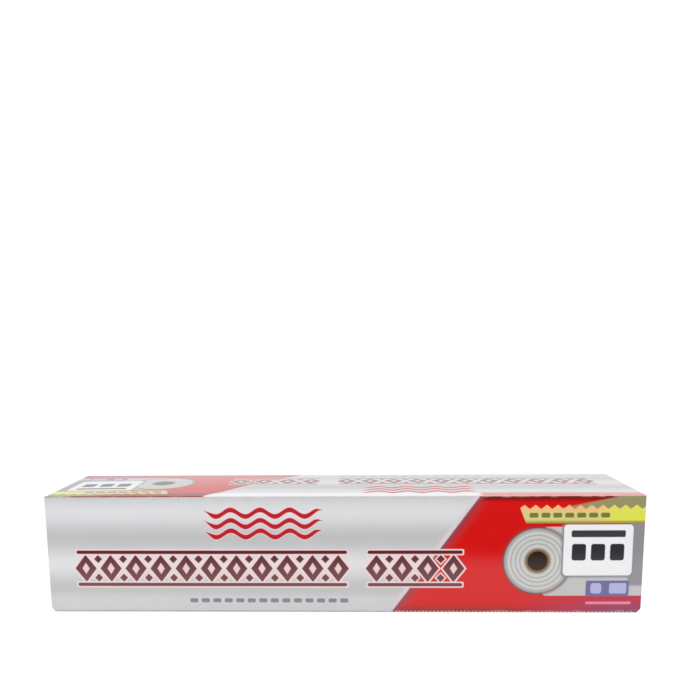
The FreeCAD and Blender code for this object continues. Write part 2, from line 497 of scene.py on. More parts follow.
# Middle and half size of each flat shape beside the disc.
GREY_SHEET = ((194.0, 42.0), (38.6, 27.5))
GREY_SHADE = ((227.5, 47.5), (7.0, 25.0))
WHITE_SHADOW = ((196.6, 50.4), (27.6, 21.2))
WHITE_PANEL = ((197.0, 51.0), (26.4, 20.2))
DARK_BAR = ((197.0, 64.0), (20.6, 2.7))
SQUARES = ((197.0, 49.4), (21.6, 9.0))
SQUARE_PITCH = 14.6
SQUARE_HALF = (5.4, 6.6)
VIOLET_BAR = ((205.3, 20.4), (16.6, 6.3))
LILAC_PANEL = ((213.4, 20.4), (6.6, 4.2))
LILAC_SPOT = ((196.6, 20.4), (4.2, 4.2))
PINK_LINE = ((206.5, 8.6), (17.5, 1.1))


def yellow_band(tree, ground, place, u, v):
    offset = OLIVE_START[0] - OLIVE_SLOPE * OLIVE_START[1]
    corner = add(tree, "Math", {0: v, 1: OLIVE_SLOPE, 2: offset}, operation="MULTIPLY_ADD")
    corner = add(tree, "Math", {0: u, 1: corner}, operation="SUBTRACT")
    corner = both(tree, step_up(tree, corner, -2.0, 6.0), step_up(tree, v, 82.0, 83.0))
    ground = ink(tree, ground, "#9b9468", corner)
    tooth = add(tree, "Math", {0: u, 1: BAND_LEFT_U}, operation="SUBTRACT")
    tooth = add(tree, "Math", {0: tooth, 1: TOOTH_PITCH / 2}, operation="PINGPONG")
    edge = add(tree, "Math", {0: tooth, 1: -(TOOTH_HIGH_V - TOOTH_LOW_V) * 2 / TOOTH_PITCH, 2: v},
               operation="MULTIPLY_ADD")
    below = step_up(tree, edge, TOOTH_LOW_V + INK_SPREAD, TOOTH_LOW_V - INK_SPREAD)
    above = step_up(tree, v, BAND_LOW_V - INK_SPREAD, BAND_LOW_V + INK_SPREAD)
    slant = add(tree, "Math", {0: v, 1: BAND_LEAN, 2: u}, operation="MULTIPLY_ADD")
    start = BAND_LEFT_U + BAND_LEAN * BAND_TOP_V
    right = step_up(tree, slant, start, start + 0.8)
    band = both(tree, both(tree, below, above), right)
    lemon = step_up(tree, u, 192.0, 212.0)
    colour = ink(tree, "#d9cf84", "#e1e455", lemon)
    colour = ink(tree, colour, ink(tree, "#f6bd82", "#e4e45c", lemon), step_up(tree, v, 80.5, 83.5))
    colour = ink(tree, colour, "#a9a24c", step_up(tree, v, 75.0, 73.2))
    ground = ink(tree, ground, colour, band)
    cell = in_cells(tree, place, FIRST_BAND_DASH_U, BAND_DASH_PITCH)
    dash = panel(tree, cell, (0, BAND_DASH_V), BAND_DASH_HALF, 1.2)
    where = panel(tree, place, *BAND_DASHES)
    return ink(tree, ground, "#7e7a3c", both(tree, where, dash))


def disc_and_panels(tree, ground, place):
    ground = ink(tree, ground, "#c3c5c2", panel(tree, place, *GREY_SHEET, 2.5))
    ground = ink(tree, ground, "#949095", panel(tree, place, *GREY_SHADE, 1.5, 1.4))
    away = add(tree, "VectorMath", {0: place, 1: (*DISC_MIDDLE, 0)}, operation="DISTANCE")
    away = away.outputs["Value"]
    ring = add(tree, "Math", {0: away, 1: RING_PITCH / 2}, operation="PINGPONG")
    disc = ink(tree, "#a9aaa8", "#cccdca", step_up(tree, ring, 0.1, 0.9))
    disc = ink(tree, disc, "#8f908f", step_up(tree, away, DISC_RADIUS - 2.2, DISC_RADIUS - 0.4))
    disc = ink(tree, disc, "#8c6a44", step_up(tree, away, *DISC_CORE))
    disc = ink(tree, disc, "#29150b", step_up(tree, away, *DISC_HOLE))
    shadow = step_up(tree, away, DISC_RADIUS + 3.0, DISC_RADIUS - 1.0)
    ground = ink(tree, ground, "#7d4144", shadow)
    gap = add(tree, "Math", {0: away, 1: DISC_RADIUS}, operation="SUBTRACT")
    ground = ink(tree, ground, disc, within(tree, gap))
    ground = ink(tree, ground, "#8a8a90", panel(tree, place, *WHITE_SHADOW, 3.5, 1.6))
    ground = ink(tree, ground, "#f1f1f2", panel(tree, place, *WHITE_PANEL, 3.0))
    ground = ink(tree, ground, "#3f3f43", panel(tree, place, *DARK_BAR, 1.2))
    (middle_u, middle_v), _ = SQUARES
    cell = in_cells(tree, place, middle_u, SQUARE_PITCH)
    square = panel(tree, cell, (0, middle_v), SQUARE_HALF, 2.0)
    ground = ink(tree, ground, "#2f2f33", both(tree, panel(tree, place, *SQUARES), square))
    ground = ink(tree, ground, "#6d6a9c", panel(tree, place, *VIOLET_BAR, 1.6))
    ground = ink(tree, ground, "#b4b6dc", panel(tree, place, *LILAC_PANEL, 1.2))
    ground = ink(tree, ground, "#b4b6dc", panel(tree, place, *LILAC_SPOT, 2.2))
    return ink(tree, ground, "#e58aa0", panel(tree, place, *PINK_LINE, 0.9))


print("disc %.0f mm across, rings every %.1f mm" % (2 * DISC_RADIUS, RING_PITCH))

# %% [markdown]
# ## Varnished printed board
# The outside of the card is offset printed on clay-coated board and sealed with a clear gloss
# varnish. That gives a smooth, slightly uneven gloss that washes out at low angles, and colour
# that rubs a little pale in patches along the folds; that pale rub also stands as a painted
# highlight along them. IOR 1.5 is typical for varnish, and roughness about 0.15 matches the
# edge of the table's reflection on the front.

# %% Varnished board
FIBRE_MM = 0.9
WAVINESS_MM = 22.0
RUB_PATCH_MM = 7.0
RUB_AND_HIGHLIGHT_STRENGTH = 0.4


def varnished_board(tree, colour):
    place = object_mm(tree)
    fibre = add(tree, "TexNoise", {"Vector": place, "Scale": 1 / FIBRE_MM, "Detail": 3.0})
    cloud = add(tree, "TexNoise", {"Vector": place, "Scale": 1 / WAVINESS_MM, "Detail": 2.0})
    grain = step_up(tree, fibre.outputs[0], 0.3, 0.7)
    mottle = add(tree, "MapRange", {"Value": cloud.outputs[0], "To Min": 0.965, "To Max": 1.03})
    grain_tone = add(tree, "MapRange", {"Value": grain, "To Min": 0.985, "To Max": 1.01})
    tone = both(tree, mottle, grain_tone)
    colour = add(tree, "VectorMath", {0: colour, "Scale": tone}, operation="SCALE").outputs[0]
    creased = add(tree, "Attribute", attribute_name="creased").outputs["Fac"]
    patch = add(tree, "TexNoise", {"Vector": place, "Scale": 1 / RUB_PATCH_MM, "Detail": 3.0})
    # Pale in patches on folds and cut edges: rub wear, and on the folds also a painted highlight.
    rub_and_fold_highlight = both(tree, creased, step_up(tree, patch.outputs[0], 0.4, 0.8))
    rub_and_fold_highlight = add(tree, "Math", {0: rub_and_fold_highlight, 1: RUB_AND_HIGHLIGHT_STRENGTH}, operation="MULTIPLY").outputs[0]
    colour = ink(tree, colour, "#ebe6e0", rub_and_fold_highlight)
    rough = add(tree, "MapRange", {"Value": cloud.outputs[0], "To Min": 0.12, "To Max": 0.2})
    bump = add(tree, "Bump", {"Height": fibre.outputs[0], "Strength": 0.1, "Distance": 0.02 * MM})
    surface(tree, {"Base Color": colour, "Roughness": rough, "IOR": 1.5, "Normal": bump})


def printed_front():
    material, tree = new_material("varnished_offset_printed_board")
    place = sheet_place(tree)
    parts = add(tree, "SeparateXYZ", {"Vector": place})
    u, v = parts.outputs["X"], parts.outputs["Y"]
    colour = red_field(tree, silver_ground_and_painted_edge_light(tree, v), u, v)
    colour = top_painted_fold_light(tree, red_painted_edge_shade(tree, colour, u, v), u, v)
    colour = wavy_lines(tree, colour, u, v)
    for first_u, count in (LONG_ROW, SHORT_ROW):
        colour = diamond_row(tree, colour, place, v, first_u, count)
    colour = small_dashes(tree, colour, place)
    colour = disc_and_panels(tree, colour, place)
    colour = yellow_band(tree, colour, place, u, v)
    varnished_board(tree, colour)
    return material


def printed_plain():
    material, tree = new_material("varnished_board_silver_and_red")
    parts = add(tree, "SeparateXYZ", {"Vector": sheet_place(tree)})
    u, v = parts.outputs["X"], parts.outputs["Y"]
    varnished_board(tree, red_field(tree, silver_ground_and_painted_edge_light(tree, v), u, v))
    return material


def printed_red():
    material, tree = new_material("varnished_board_red_ends")
    parts = add(tree, "SeparateXYZ", {"Vector": object_mm(tree)})
    # Painted shade: the red is a little darker towards the bottom.
    shade = step_up(tree, parts.outputs["Z"], 0.0, TOP_Z)
    varnished_board(tree, ink(tree, "#c41416", "#d60c0b", shade))
    return material


front_print, plain_print, red_print = printed_front(), printed_plain(), printed_red()
print("front print has %d nodes" % len(front_print.node_tree.nodes))

# %% [markdown]
# ## Bare board inside, and its cut edge
# The inside is the board's uncoated back: recycled fibre, matt and grey-white with darker
# specks. The cut edge shows pale pressed layers.

# %% Bare board and cut edge
SPECK_MM = 1.4
LAYER_MM = 0.15


def bare_board():
    material, tree = new_material("uncoated_recycled_board_back")
    place = object_mm(tree)
    fibre = add(tree, "TexNoise", {"Vector": place, "Scale": 1 / FIBRE_MM, "Detail": 4.0, "Roughness": 0.6})
    speck = add(tree, "TexNoise", {"Vector": place, "Scale": 1 / SPECK_MM, "Detail": 1.0})
    cloud = add(tree, "TexNoise", {"Vector": place, "Scale": 1 / (2 * WAVINESS_MM), "Detail": 2.0})
    colour = ink(tree, "#d3cfc6", "#dad6cd", step_up(tree, cloud.outputs[0], 0.3, 0.7))
    colour = ink(tree, colour, "#c2bdb2", step_up(tree, fibre.outputs[0], 0.56, 0.70))
    colour = ink(tree, colour, "#9b9489", step_up(tree, speck.outputs[0], 0.70, 0.76))
    bump = add(tree, "Bump", {"Height": fibre.outputs[0], "Strength": 0.35, "Distance": 0.1 * MM})
    surface(tree, {"Base Color": colour, "Roughness": 0.88, "IOR": 1.45, "Normal": bump})
    return material


def cut_edge():
    material, tree = new_material("die_cut_board_edge")
    place = object_mm(tree)
    layers = add(tree, "TexNoise", {"Vector": place, "Scale": 1 / LAYER_MM, "Detail": 2.0})
    colour = ink(tree, "#cfc8bb", "#efebe3", step_up(tree, layers.outputs[0], 0.35, 0.65))
    bump = add(tree, "Bump", {"Height": layers.outputs[0], "Strength": 0.4, "Distance": 0.05 * MM})
    surface(tree, {"Base Color": colour, "Roughness": 0.9, "IOR": 1.45, "Normal": bump})
    return material


board_inside, board_edge = bare_board(), cut_edge()
print("board materials:", board_inside.name, board_edge.name)

# %% [markdown]
# ## Folding card
# A carton is one flat sheet, creased and folded, so each piece of card is made as that: flat
# panels and quarter-round folds laid as grids of faces, welded where they meet, and then given
# the card's thickness inwards by a Solidify modifier. A single box would have no free edges, no
# inside and no play between flap and tray. Real card is never quite flat, so each panel swells
# a little between its folds.

# %% Laying and welding panels of card


def spread(low, high, step):
    count = max(1, round((high - low) / step))
    return [low + (high - low) * n / count for n in range(count + 1)]


def lay_panel(bm, grid, outward, sheet, skin=0):
    # Faces over rows of points; sheet gives a point's place on the flat print.
    layer = bm.loops.layers.uv.get("print_mm") or bm.loops.layers.uv.new("print_mm")
    rows = [[bm.verts.new(point) for point in row] for row in grid]
    for low, high in zip(rows, rows[1:]):
        for a, b, c, d in zip(low, low[1:], high[1:], high):
            face = bm.faces.new((a, b, c, d))
            face.normal_update()
            if face.normal.dot(Vector(outward)) < 0:
                face.normal_flip()
            face.material_index = skin
            for loop in face.loops:
                loop[layer].uv = sheet(loop.vert.co)


def quarter(steps=6):
    # Sine and cosine along a quarter turn.
    angles = [math.pi / 2 * n / steps for n in range(steps + 1)]
    return [(math.sin(angle), math.cos(angle)) for angle in angles]


def ripple(a, b):
    # Slow unevenness of card, from -1 to 1.
    return noise.noise(Vector((a / 70, b / 45, 3.1)))


def make_card(bm, name, crease_at, skins, thickness=CARD):
    # Each skin is followed by the inside and the edge, so the skins' slots are 0, 3 and 6.
    bmesh.ops.remove_doubles(bm, verts=bm.verts, dist=0.02)
    creased = bm.verts.layers.float.new("creased")
    for vert in bm.verts:
        vert[creased] = 1.0 if crease_at(vert.co) else 0.0
    bmesh.ops.scale(bm, vec=(MM, MM, MM), verts=bm.verts)
    mesh = bpy.data.meshes.new(name)
    bm.to_mesh(mesh)
    bm.free()
    for skin in skins:
        for material in (skin, board_inside, board_edge):
            mesh.materials.append(material)
    piece = bpy.data.objects.new(name, mesh)
    bpy.context.collection.objects.link(piece)
    thicken = piece.modifiers.new("card_thickness", "SOLIDIFY")
    thicken.thickness = thickness * MM
    thicken.offset = -1.0
    thicken.use_even_offset = True
    thicken.material_offset = 1
    thicken.material_offset_rim = 2
    depsgraph = bpy.context.evaluated_depsgraph_get()
    solid = bpy.data.meshes.new_from_object(piece.evaluated_get(depsgraph))
    piece.modifiers.clear()
    piece.data = solid
    solid.name = name
    solid.polygons.foreach_set("use_smooth", [True] * len(solid.polygons))
    solid.set_sharp_from_angle(angle=math.radians(32))
    print(name, "faces:", len(solid.polygons))
    return piece


# %% [markdown]
# ## Lid
# The lid is the carton's top panel, the full-height front flap and two ears, all one sheet.
# The flap's free lower corners are rounded, so that they don't catch. The same artwork is
# printed twice, on the front and turned half round on the top, which is how the red field shows
# at the left of the top.

# %% Lid
FLAP_CORNER = 3.0
FLAP_SWELL = 0.8
FLAP_RIPPLE = 0.15
TOP_SWELL = 1.1
TOP_RIPPLE = 0.2
EAR_FRONT_DROP = 30.6
EAR_BACK_DROP = 16.6
EAR_BACK_Y = BACK_Y - 5.0
MARGIN_X = LENGTH_HALF - FOLD / 2
RED_SKIN = 3
COLUMN_STEP = 4.6
ROW_STEP = 4.0
EDGE_ROW = 1.0

INSIDE_X = LENGTH_HALF - FOLD
CREASE_Y = BACK_Y - 0.1
corner_columns = [LENGTH_HALF - FLAP_CORNER + FLAP_CORNER * s for s, _ in quarter()]
end_columns = sorted(corner_columns + [INSIDE_X])
lid_columns = ([-x for x in reversed(end_columns)]
               + spread(-LENGTH_HALF + FLAP_CORNER, LENGTH_HALF - FLAP_CORNER, COLUMN_STEP)[1:-1]
               + end_columns)


def on_flap(point):
    return point.x, point.z


def on_top(point):
    return -point.x, (BACK_Y - point.y) * TOP_Z / (BACK_Y - FRONT_Y)


def flap_bottom(x):
    # Lower edge of the flap, with its rounded corners.
    past = max(0.0, abs(x) - (LENGTH_HALF - FLAP_CORNER))
    return lid_low.z + FLAP_CORNER - math.sqrt(max(0.0, FLAP_CORNER ** 2 - past ** 2))


def swell(part, x, reach):
    # How far a panel stands out, from its place between two folds and along the carton.
    return math.sin(math.pi * part) * max(0.0, 1 - (x / reach) ** 4)


def ear_bottom(y):
    # The ear is cut in two straight lines: a shallow one, and a steep one to the crease.
    knee = EAR_BACK_Y - EAR_BACK_DROP
    if y < knee:
        part = (y - FRONT_Y) / (knee - FRONT_Y)
        drop = EAR_FRONT_DROP + (EAR_BACK_DROP - EAR_FRONT_DROP) * part
    else:
        drop = EAR_BACK_Y - y
    return min(TOP_Z - drop, TOP_Z - FOLD - 0.1)


def lay_flap(bm):
    fold_z = TOP_Z - FOLD
    narrow = EDGE_ROW / (fold_z - lid_low.z)
    parts = sorted([0, narrow, 1 - narrow] + spread(0, 1, ROW_STEP / TOP_Z)[1:])
    grid = []
    for part in parts:
        row = []
        for x in lid_columns:
            z = fold_z + (flap_bottom(x) - fold_z) * part
            out = FLAP_SWELL * swell(0.85 * part, x, LENGTH_HALF) + FLAP_RIPPLE * part * ripple(x, z)
            row.append((x, FRONT_Y - out, z))
        grid.append(row)
    lay_panel(bm, grid, (0, -1, 0), on_flap)


def lay_top(bm):
    fold_y = FRONT_Y + FOLD
    rows = sorted([fold_y, fold_y + EDGE_ROW, EAR_BACK_Y] + spread(fold_y, CREASE_Y, ROW_STEP)[1:])
    columns = [x for x in lid_columns if abs(x) <= INSIDE_X]
    grid = []
    for y in rows:
        part = (y - fold_y) / (CREASE_Y - fold_y)
        out = [TOP_SWELL * swell(part, x, INSIDE_X) * (1 + TOP_RIPPLE * ripple(x, y)) for x in columns]
        grid.append([(x, y, TOP_Z + up) for x, up in zip(columns, out)])
    lay_panel(bm, grid, (0, 0, 1), on_top)
    return rows


def lay_front_fold(bm):
    bend = [[(x, FRONT_Y + FOLD - FOLD * s, TOP_Z - FOLD + FOLD * c) for x in lid_columns]
            for s, c in quarter()]
    lay_panel(bm, bend[:6], (0, -1, 1), on_top)
    lay_panel(bm, bend[5:], (0, -1, 1), on_flap)


def lay_ear(bm, side, rows):
    rows = [y for y in rows if y <= EAR_BACK_Y]
    bend = [[(side * (INSIDE_X + FOLD * s), y, TOP_Z - FOLD + FOLD * c) for y in rows]
            for s, c in quarter()]
    lay_panel(bm, bend[:4], (side, 0, 1), on_top)
    lay_panel(bm, bend[3:], (side, 0, 1), on_top, RED_SKIN)
    hang = [[(side * LENGTH_HALF, y, TOP_Z - FOLD + (ear_bottom(y) - TOP_Z + FOLD) * part) for y in rows]
            for part in (0, 0.06, 0.3, 0.65, 0.96, 1)]
    lay_panel(bm, hang, (side, 0, 0), on_top, RED_SKIN)
    margin = [[(side * x, y, TOP_Z) for x in (INSIDE_X, MARGIN_X)] for y in (EAR_BACK_Y, CREASE_Y)]
    lay_panel(bm, margin, (0, 0, 1), on_top)


def lid_crease_at(point):
    # Folds and cut edges, where the ink rubs off first; on the folds that pale rub is also a painted
    # highlight.
    high = point.z > TOP_Z - FOLD - TOUCH
    fold = high and (point.y < FRONT_Y + FOLD + TOUCH or abs(point.x) > INSIDE_X - TOUCH)
    flap_edge = point.y < FRONT_Y + 0.3 and point.z < flap_bottom(point.x) + TOUCH
    ear_edge = abs(point.x) > LENGTH_HALF - TOUCH and point.z < ear_bottom(point.y) + TOUCH
    return fold or flap_edge or (ear_edge and point.y > FRONT_Y + 0.3)


def make_lid():
    bm = bmesh.new()
    lay_flap(bm)
    lay_front_fold(bm)
    rows = lay_top(bm)
    for side in (-1, 1):
        lay_ear(bm, side, rows)
    return make_card(bm, "folded_lid", lid_crease_at, (front_print, red_print))


lid = make_lid()
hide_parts("carton_lid")
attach(lid, "lid")

# %% [markdown]
# ## Tray
# The tray is a second strip, front wall, bottom and back wall, with flaps turned in at both ends
# and an end panel turned up and glued over them. The walls carry the silver ground and the red
# field with nothing on them, which shows on the back and, with the lid up, in front. Bottom and
# ends have the silver ground alone.

# %% Tray
END_FOLD = 0.6
WALL_TOP = tray_high.z
FRONT_WALL_TOP = WALL_TOP - 1.5
END_PANEL_TOP = WALL_TOP - 0.8
END_PANEL_SETBACK = 1.0
END_PANEL_CORNER = 2.0
GLUE_FLAP_WIDTH = 36.0
GLUE_FLAP_TAPER = 3.0
BACK_FLAP_DROP = 0.2
GLUE_FLAP_LEAN = 0.02
PANEL_FIRST_ROW = 0.012
WALL_BOW = 0.35
WALL_END_X = tray_high.x - END_FOLD
TRAY_FRONT_Y = tray_low.y
FLAP_FOLD_X = WALL_END_X - END_FOLD

wall_columns = sorted([EDGE_ROW - FLAP_FOLD_X, FLAP_FOLD_X - EDGE_ROW]
                      + spread(-FLAP_FOLD_X, FLAP_FOLD_X, COLUMN_STEP))
tray_columns = [-WALL_END_X] + wall_columns + [WALL_END_X]

# A place on the print where there is nothing but the silver ground.
PLAIN_SILVER_U = -200.0


def on_front(point):
    return point.x, point.z


def on_back(point):
    return -point.x, point.z


def on_bottom(point):
    return PLAIN_SILVER_U, point.y - FRONT_Y


def on_end(point):
    return PLAIN_SILVER_U, point.z


def lay_walls(bm):
    front = (TRAY_FRONT_Y, -1, FRONT_WALL_TOP, on_front)
    back = (tray_high.y, 1, WALL_TOP, on_back)
    for y, facing, top, sheet in (front, back):
        levels = sorted([FOLD, FOLD + EDGE_ROW] + spread(FOLD, top, ROW_STEP)[1:])
        wall = []
        for z in levels:
            part = (z - FOLD) / (top - FOLD)
            bow = swell(part if facing > 0 else 0.8 * part, 0, 1)
            out = [WALL_BOW * bow * swell(0.5, x, FLAP_FOLD_X) for x in wall_columns]
            wall.append([(x, y + facing * up, z) for x, up in zip(wall_columns, out)])
        lay_panel(bm, wall, (0, facing, 0), sheet)
        bend = [[(x, y - facing * FOLD * (1 - s), FOLD * (1 - c)) for x in wall_columns]
                for s, c in quarter()]
        lay_panel(bm, bend, (0, facing, -1), sheet)


def lay_bottom(bm):
    rows = sorted([TRAY_FRONT_Y + END_PANEL_SETBACK, tray_high.y - END_PANEL_SETBACK]
                  + spread(TRAY_FRONT_Y + FOLD, tray_high.y - FOLD, ROW_STEP))
    lay_panel(bm, [[(x, y, 0) for x in tray_columns] for y in rows], (0, 0, -1), on_bottom)
    return rows[1:-1]


def end_panel_top(y):
    # Top edge of the end panel, with its two cut corners.
    from_edge = min(y - TRAY_FRONT_Y, tray_high.y - y) - END_PANEL_SETBACK
    return END_PANEL_TOP - max(0.0, END_PANEL_CORNER - from_edge)


def lay_end_panel(bm, side, rows):
    bend = [[(side * (WALL_END_X + END_FOLD * s), y, END_FOLD * (1 - c)) for y in rows]
            for s, c in quarter()]
    lay_panel(bm, bend, (side, 0, -1), on_bottom)
    panel_rows = [[(side * (WALL_END_X + END_FOLD), y, END_FOLD + (end_panel_top(y) - END_FOLD) * part)
                   for y in rows] for part in [0, PANEL_FIRST_ROW] + spread(0, 1, 0.1)[1:]]
    lay_panel(bm, panel_rows, (side, 0, 0), on_end)


def lay_glue_flap(bm, side, wall_y, inward):
    sheet, flap_top = (on_front, FRONT_WALL_TOP) if inward > 0 else (on_back, WALL_TOP - BACK_FLAP_DROP)
    levels = sorted([FOLD, FOLD + EDGE_ROW] + spread(FOLD, flap_top, ROW_STEP)[1:])
    bend = [[(side * (FLAP_FOLD_X + END_FOLD * s), wall_y + inward * END_FOLD * (1 - c), z) for z in levels]
            for s, c in quarter()]
    lay_panel(bm, bend, (side, -inward, 0), sheet)
    turned = []
    for part in (0, 0.1, 0.4, 0.7, 1):
        lift = GLUE_FLAP_TAPER * part
        y = wall_y + inward * (END_FOLD + (GLUE_FLAP_WIDTH - END_FOLD) * part)
        squeeze = 1 - 2 * lift / (flap_top - FOLD)
        middle = (flap_top + FOLD) / 2
        x = side * (WALL_END_X - GLUE_FLAP_LEAN * part)
        turned.append([(x, y, middle + (z - middle) * squeeze) for z in levels])
    lay_panel(bm, turned, (side, 0, 0), sheet)


def tray_crease_at(point):
    from_wall = min(point.y - TRAY_FRONT_Y, tray_high.y - point.y)
    low = point.z < FOLD + TOUCH and from_wall < FOLD + TOUCH
    upright = abs(abs(point.x) - WALL_END_X + END_FOLD / 2) < END_FOLD / 2 + TOUCH
    return low or (upright and from_wall < END_FOLD + 0.1)


def make_tray():
    bm = bmesh.new()
    lay_walls(bm)
    rows = lay_bottom(bm)
    for side in (-1, 1):
        lay_end_panel(bm, side, rows)
        lay_glue_flap(bm, side, TRAY_FRONT_Y, 1)
        lay_glue_flap(bm, side, tray_high.y, -1)
    return make_card(bm, "folded_tray", tray_crease_at, (plain_print,))


tray = make_tray()
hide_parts("carton_tray")
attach(tray, "tray")

# %% [markdown]
# ## Back crease
# Lid and tray are one sheet in the real carton, so at the back the card's printed skin runs
# through the crease. Here they are two rigid pieces with a thin slit between them. A narrow skin
# of card covers the slit: one strip lies down the tray's back wall and one along the lid's top,
# and they meet right on the crease's line. It is folded sharper than the other folds, because the
# lid bends it back and forth, and the ink has cracked off there, so the bend shows bare board.

# %% Crease skin
SKIN_PROUD = 0.03
SKIN_THICKNESS = 0.2
SKIN_REACH = 2.2
SKIN_BARE = 0.3
PLAIN_SKIN = 3
BARE_SKIN = 6


def nowhere(point):
    return False


def make_crease_skin():
    bm = bmesh.new()
    columns = spread(-FLAP_FOLD_X, FLAP_FOLD_X, COLUMN_STEP)
    y, z = BACK_Y + SKIN_PROUD, TOP_Z + SKIN_PROUD
    bare = (0, SKIN_BARE, BARE_SKIN, BARE_SKIN)
    printed = (SKIN_BARE, SKIN_REACH, PLAIN_SKIN, 0)
    for near, far, wall_skin, top_skin in (bare, printed):
        wall = [[(x, y, z - reach) for x in columns] for reach in (near, far)]
        top = [[(x, y - reach, z) for x in columns] for reach in (near, far)]
        lay_panel(bm, wall, (0, 1, 0), on_back, wall_skin)
        lay_panel(bm, top, (0, 0, 1), on_top, top_skin)
    skins = (front_print, plain_print, board_edge)
    return make_card(bm, "crease_skin", nowhere, skins, SKIN_THICKNESS)


crease_skin = make_crease_skin()
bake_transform(crease_skin)

# %% [markdown]
# ## Foil
# Household foil is aluminium rolled to about 15 microns, shiny and nearly white, with faint
# streaks in the direction that it was rolled and fine crinkles where hands have touched it.
# The roll is one long spiral: its outside is a sheet that starts at a slightly lifted free edge
# and slips under itself one turn later, and its ends show the edges of the turns.

# %% Foil materials
STREAK_MM = 0.8
CRINKLE_MM = 9.0
TURN_MM = 0.5


def rolled_foil():
    material, tree = new_material("rolled_aluminium_foil")
    place = sheet_place(tree)
    stretched = add(tree, "VectorMath", {0: place, 1: (1.0, 0.004, 1.0)}, operation="MULTIPLY")
    streak = add(tree, "TexNoise", {"Vector": stretched, "Scale": 1 / STREAK_MM, "Detail": 3.0})
    crinkle = add(tree, "TexNoise", {"Vector": place, "Scale": 1 / CRINKLE_MM, "Detail": 5.0,
                                     "Distortion": 0.8})
    ridge = add(tree, "Math", {0: crinkle.outputs[0], 1: 0.5}, operation="SUBTRACT")
    ridge = add(tree, "Math", {0: ridge}, operation="ABSOLUTE")
    colour = ink(tree, "#d4d6d9", "#dddfe2", step_up(tree, streak.outputs[0], 0.3, 0.7))
    rough = add(tree, "MapRange", {"Value": streak.outputs[0], "To Min": 0.12, "To Max": 0.22})
    fine = add(tree, "Bump", {"Height": streak.outputs[0], "Strength": 0.04, "Distance": 0.02 * MM})
    creases = add(tree, "Bump", {"Height": ridge, "Strength": 0.8, "Distance": 1.0 * MM, "Normal": fine})
    surface(tree, {"Base Color": colour, "Metallic": 1.0, "Roughness": rough, "Normal": creases})
    return material


def foil_turns():
    # The turns are too fine to show, so a line here stands for about thirty of them.
    material, tree = new_material("edges_of_wound_foil")
    parts = add(tree, "SeparateXYZ", {"Vector": sheet_place(tree)})
    ring = add(tree, "CombineXYZ", {"X": parts.outputs["X"]})
    line = add(tree, "TexNoise", {"Vector": ring, "Scale": 1 / TURN_MM, "Detail": 4.0})
    colour = ink(tree, "#8d9094", "#d4d6d9", step_up(tree, line.outputs[0], 0.35, 0.65))
    bump = add(tree, "Bump", {"Height": line.outputs[0], "Strength": 0.7, "Distance": 0.2 * MM})
    surface(tree, {"Base Color": colour, "Metallic": 1.0, "Roughness": 0.38, "Normal": bump})
    return material


foil_skin, foil_ends = rolled_foil(), foil_turns()
print("foil streaks every %.1f mm" % STREAK_MM)

# %% Foil roll
FREE_EDGE_ANGLE = math.radians(118)
FREE_EDGE_LIFT = 0.15
TURN_STEP = 0.25
AROUND = 168
OVERLAP = 8
ALONG_STEP = 3.5
FOIL_INSET = 0.15
BAND_HEIGHT = 0.10
BAND_MM = 11.0
DENT_HEIGHT = 0.22
DENT_MM = 30.0
TURN_SLIDE = 0.22

roll_radius = (roll_high.z - roll_low.z) / 2
core_radius = (core_high.z - core_low.z) / 2
roll_middle = (roll_low + roll_high) / 2


def around_roll(x, radius, angle):
    return (x, roll_middle.y - radius * math.cos(angle), roll_middle.z + radius * math.sin(angle))


def skin_radius(turned, x):
    # Radius of the outer sheet, from its free edge to where it slips under itself.
    lift = FREE_EDGE_LIFT * math.exp(-turned / 0.2) * (0.6 + 0.4 * math.sin(x / 37 + 1.0))
    bands = BAND_HEIGHT * noise.noise(Vector((x / BAND_MM, 0.0, 7.7)))
    dents = DENT_HEIGHT * noise.noise(Vector((x / DENT_MM, turned * 3.0, 1.3)))
    return roll_radius - FOIL_INSET - TURN_STEP * turned / (2 * math.pi) + lift + bands + dents


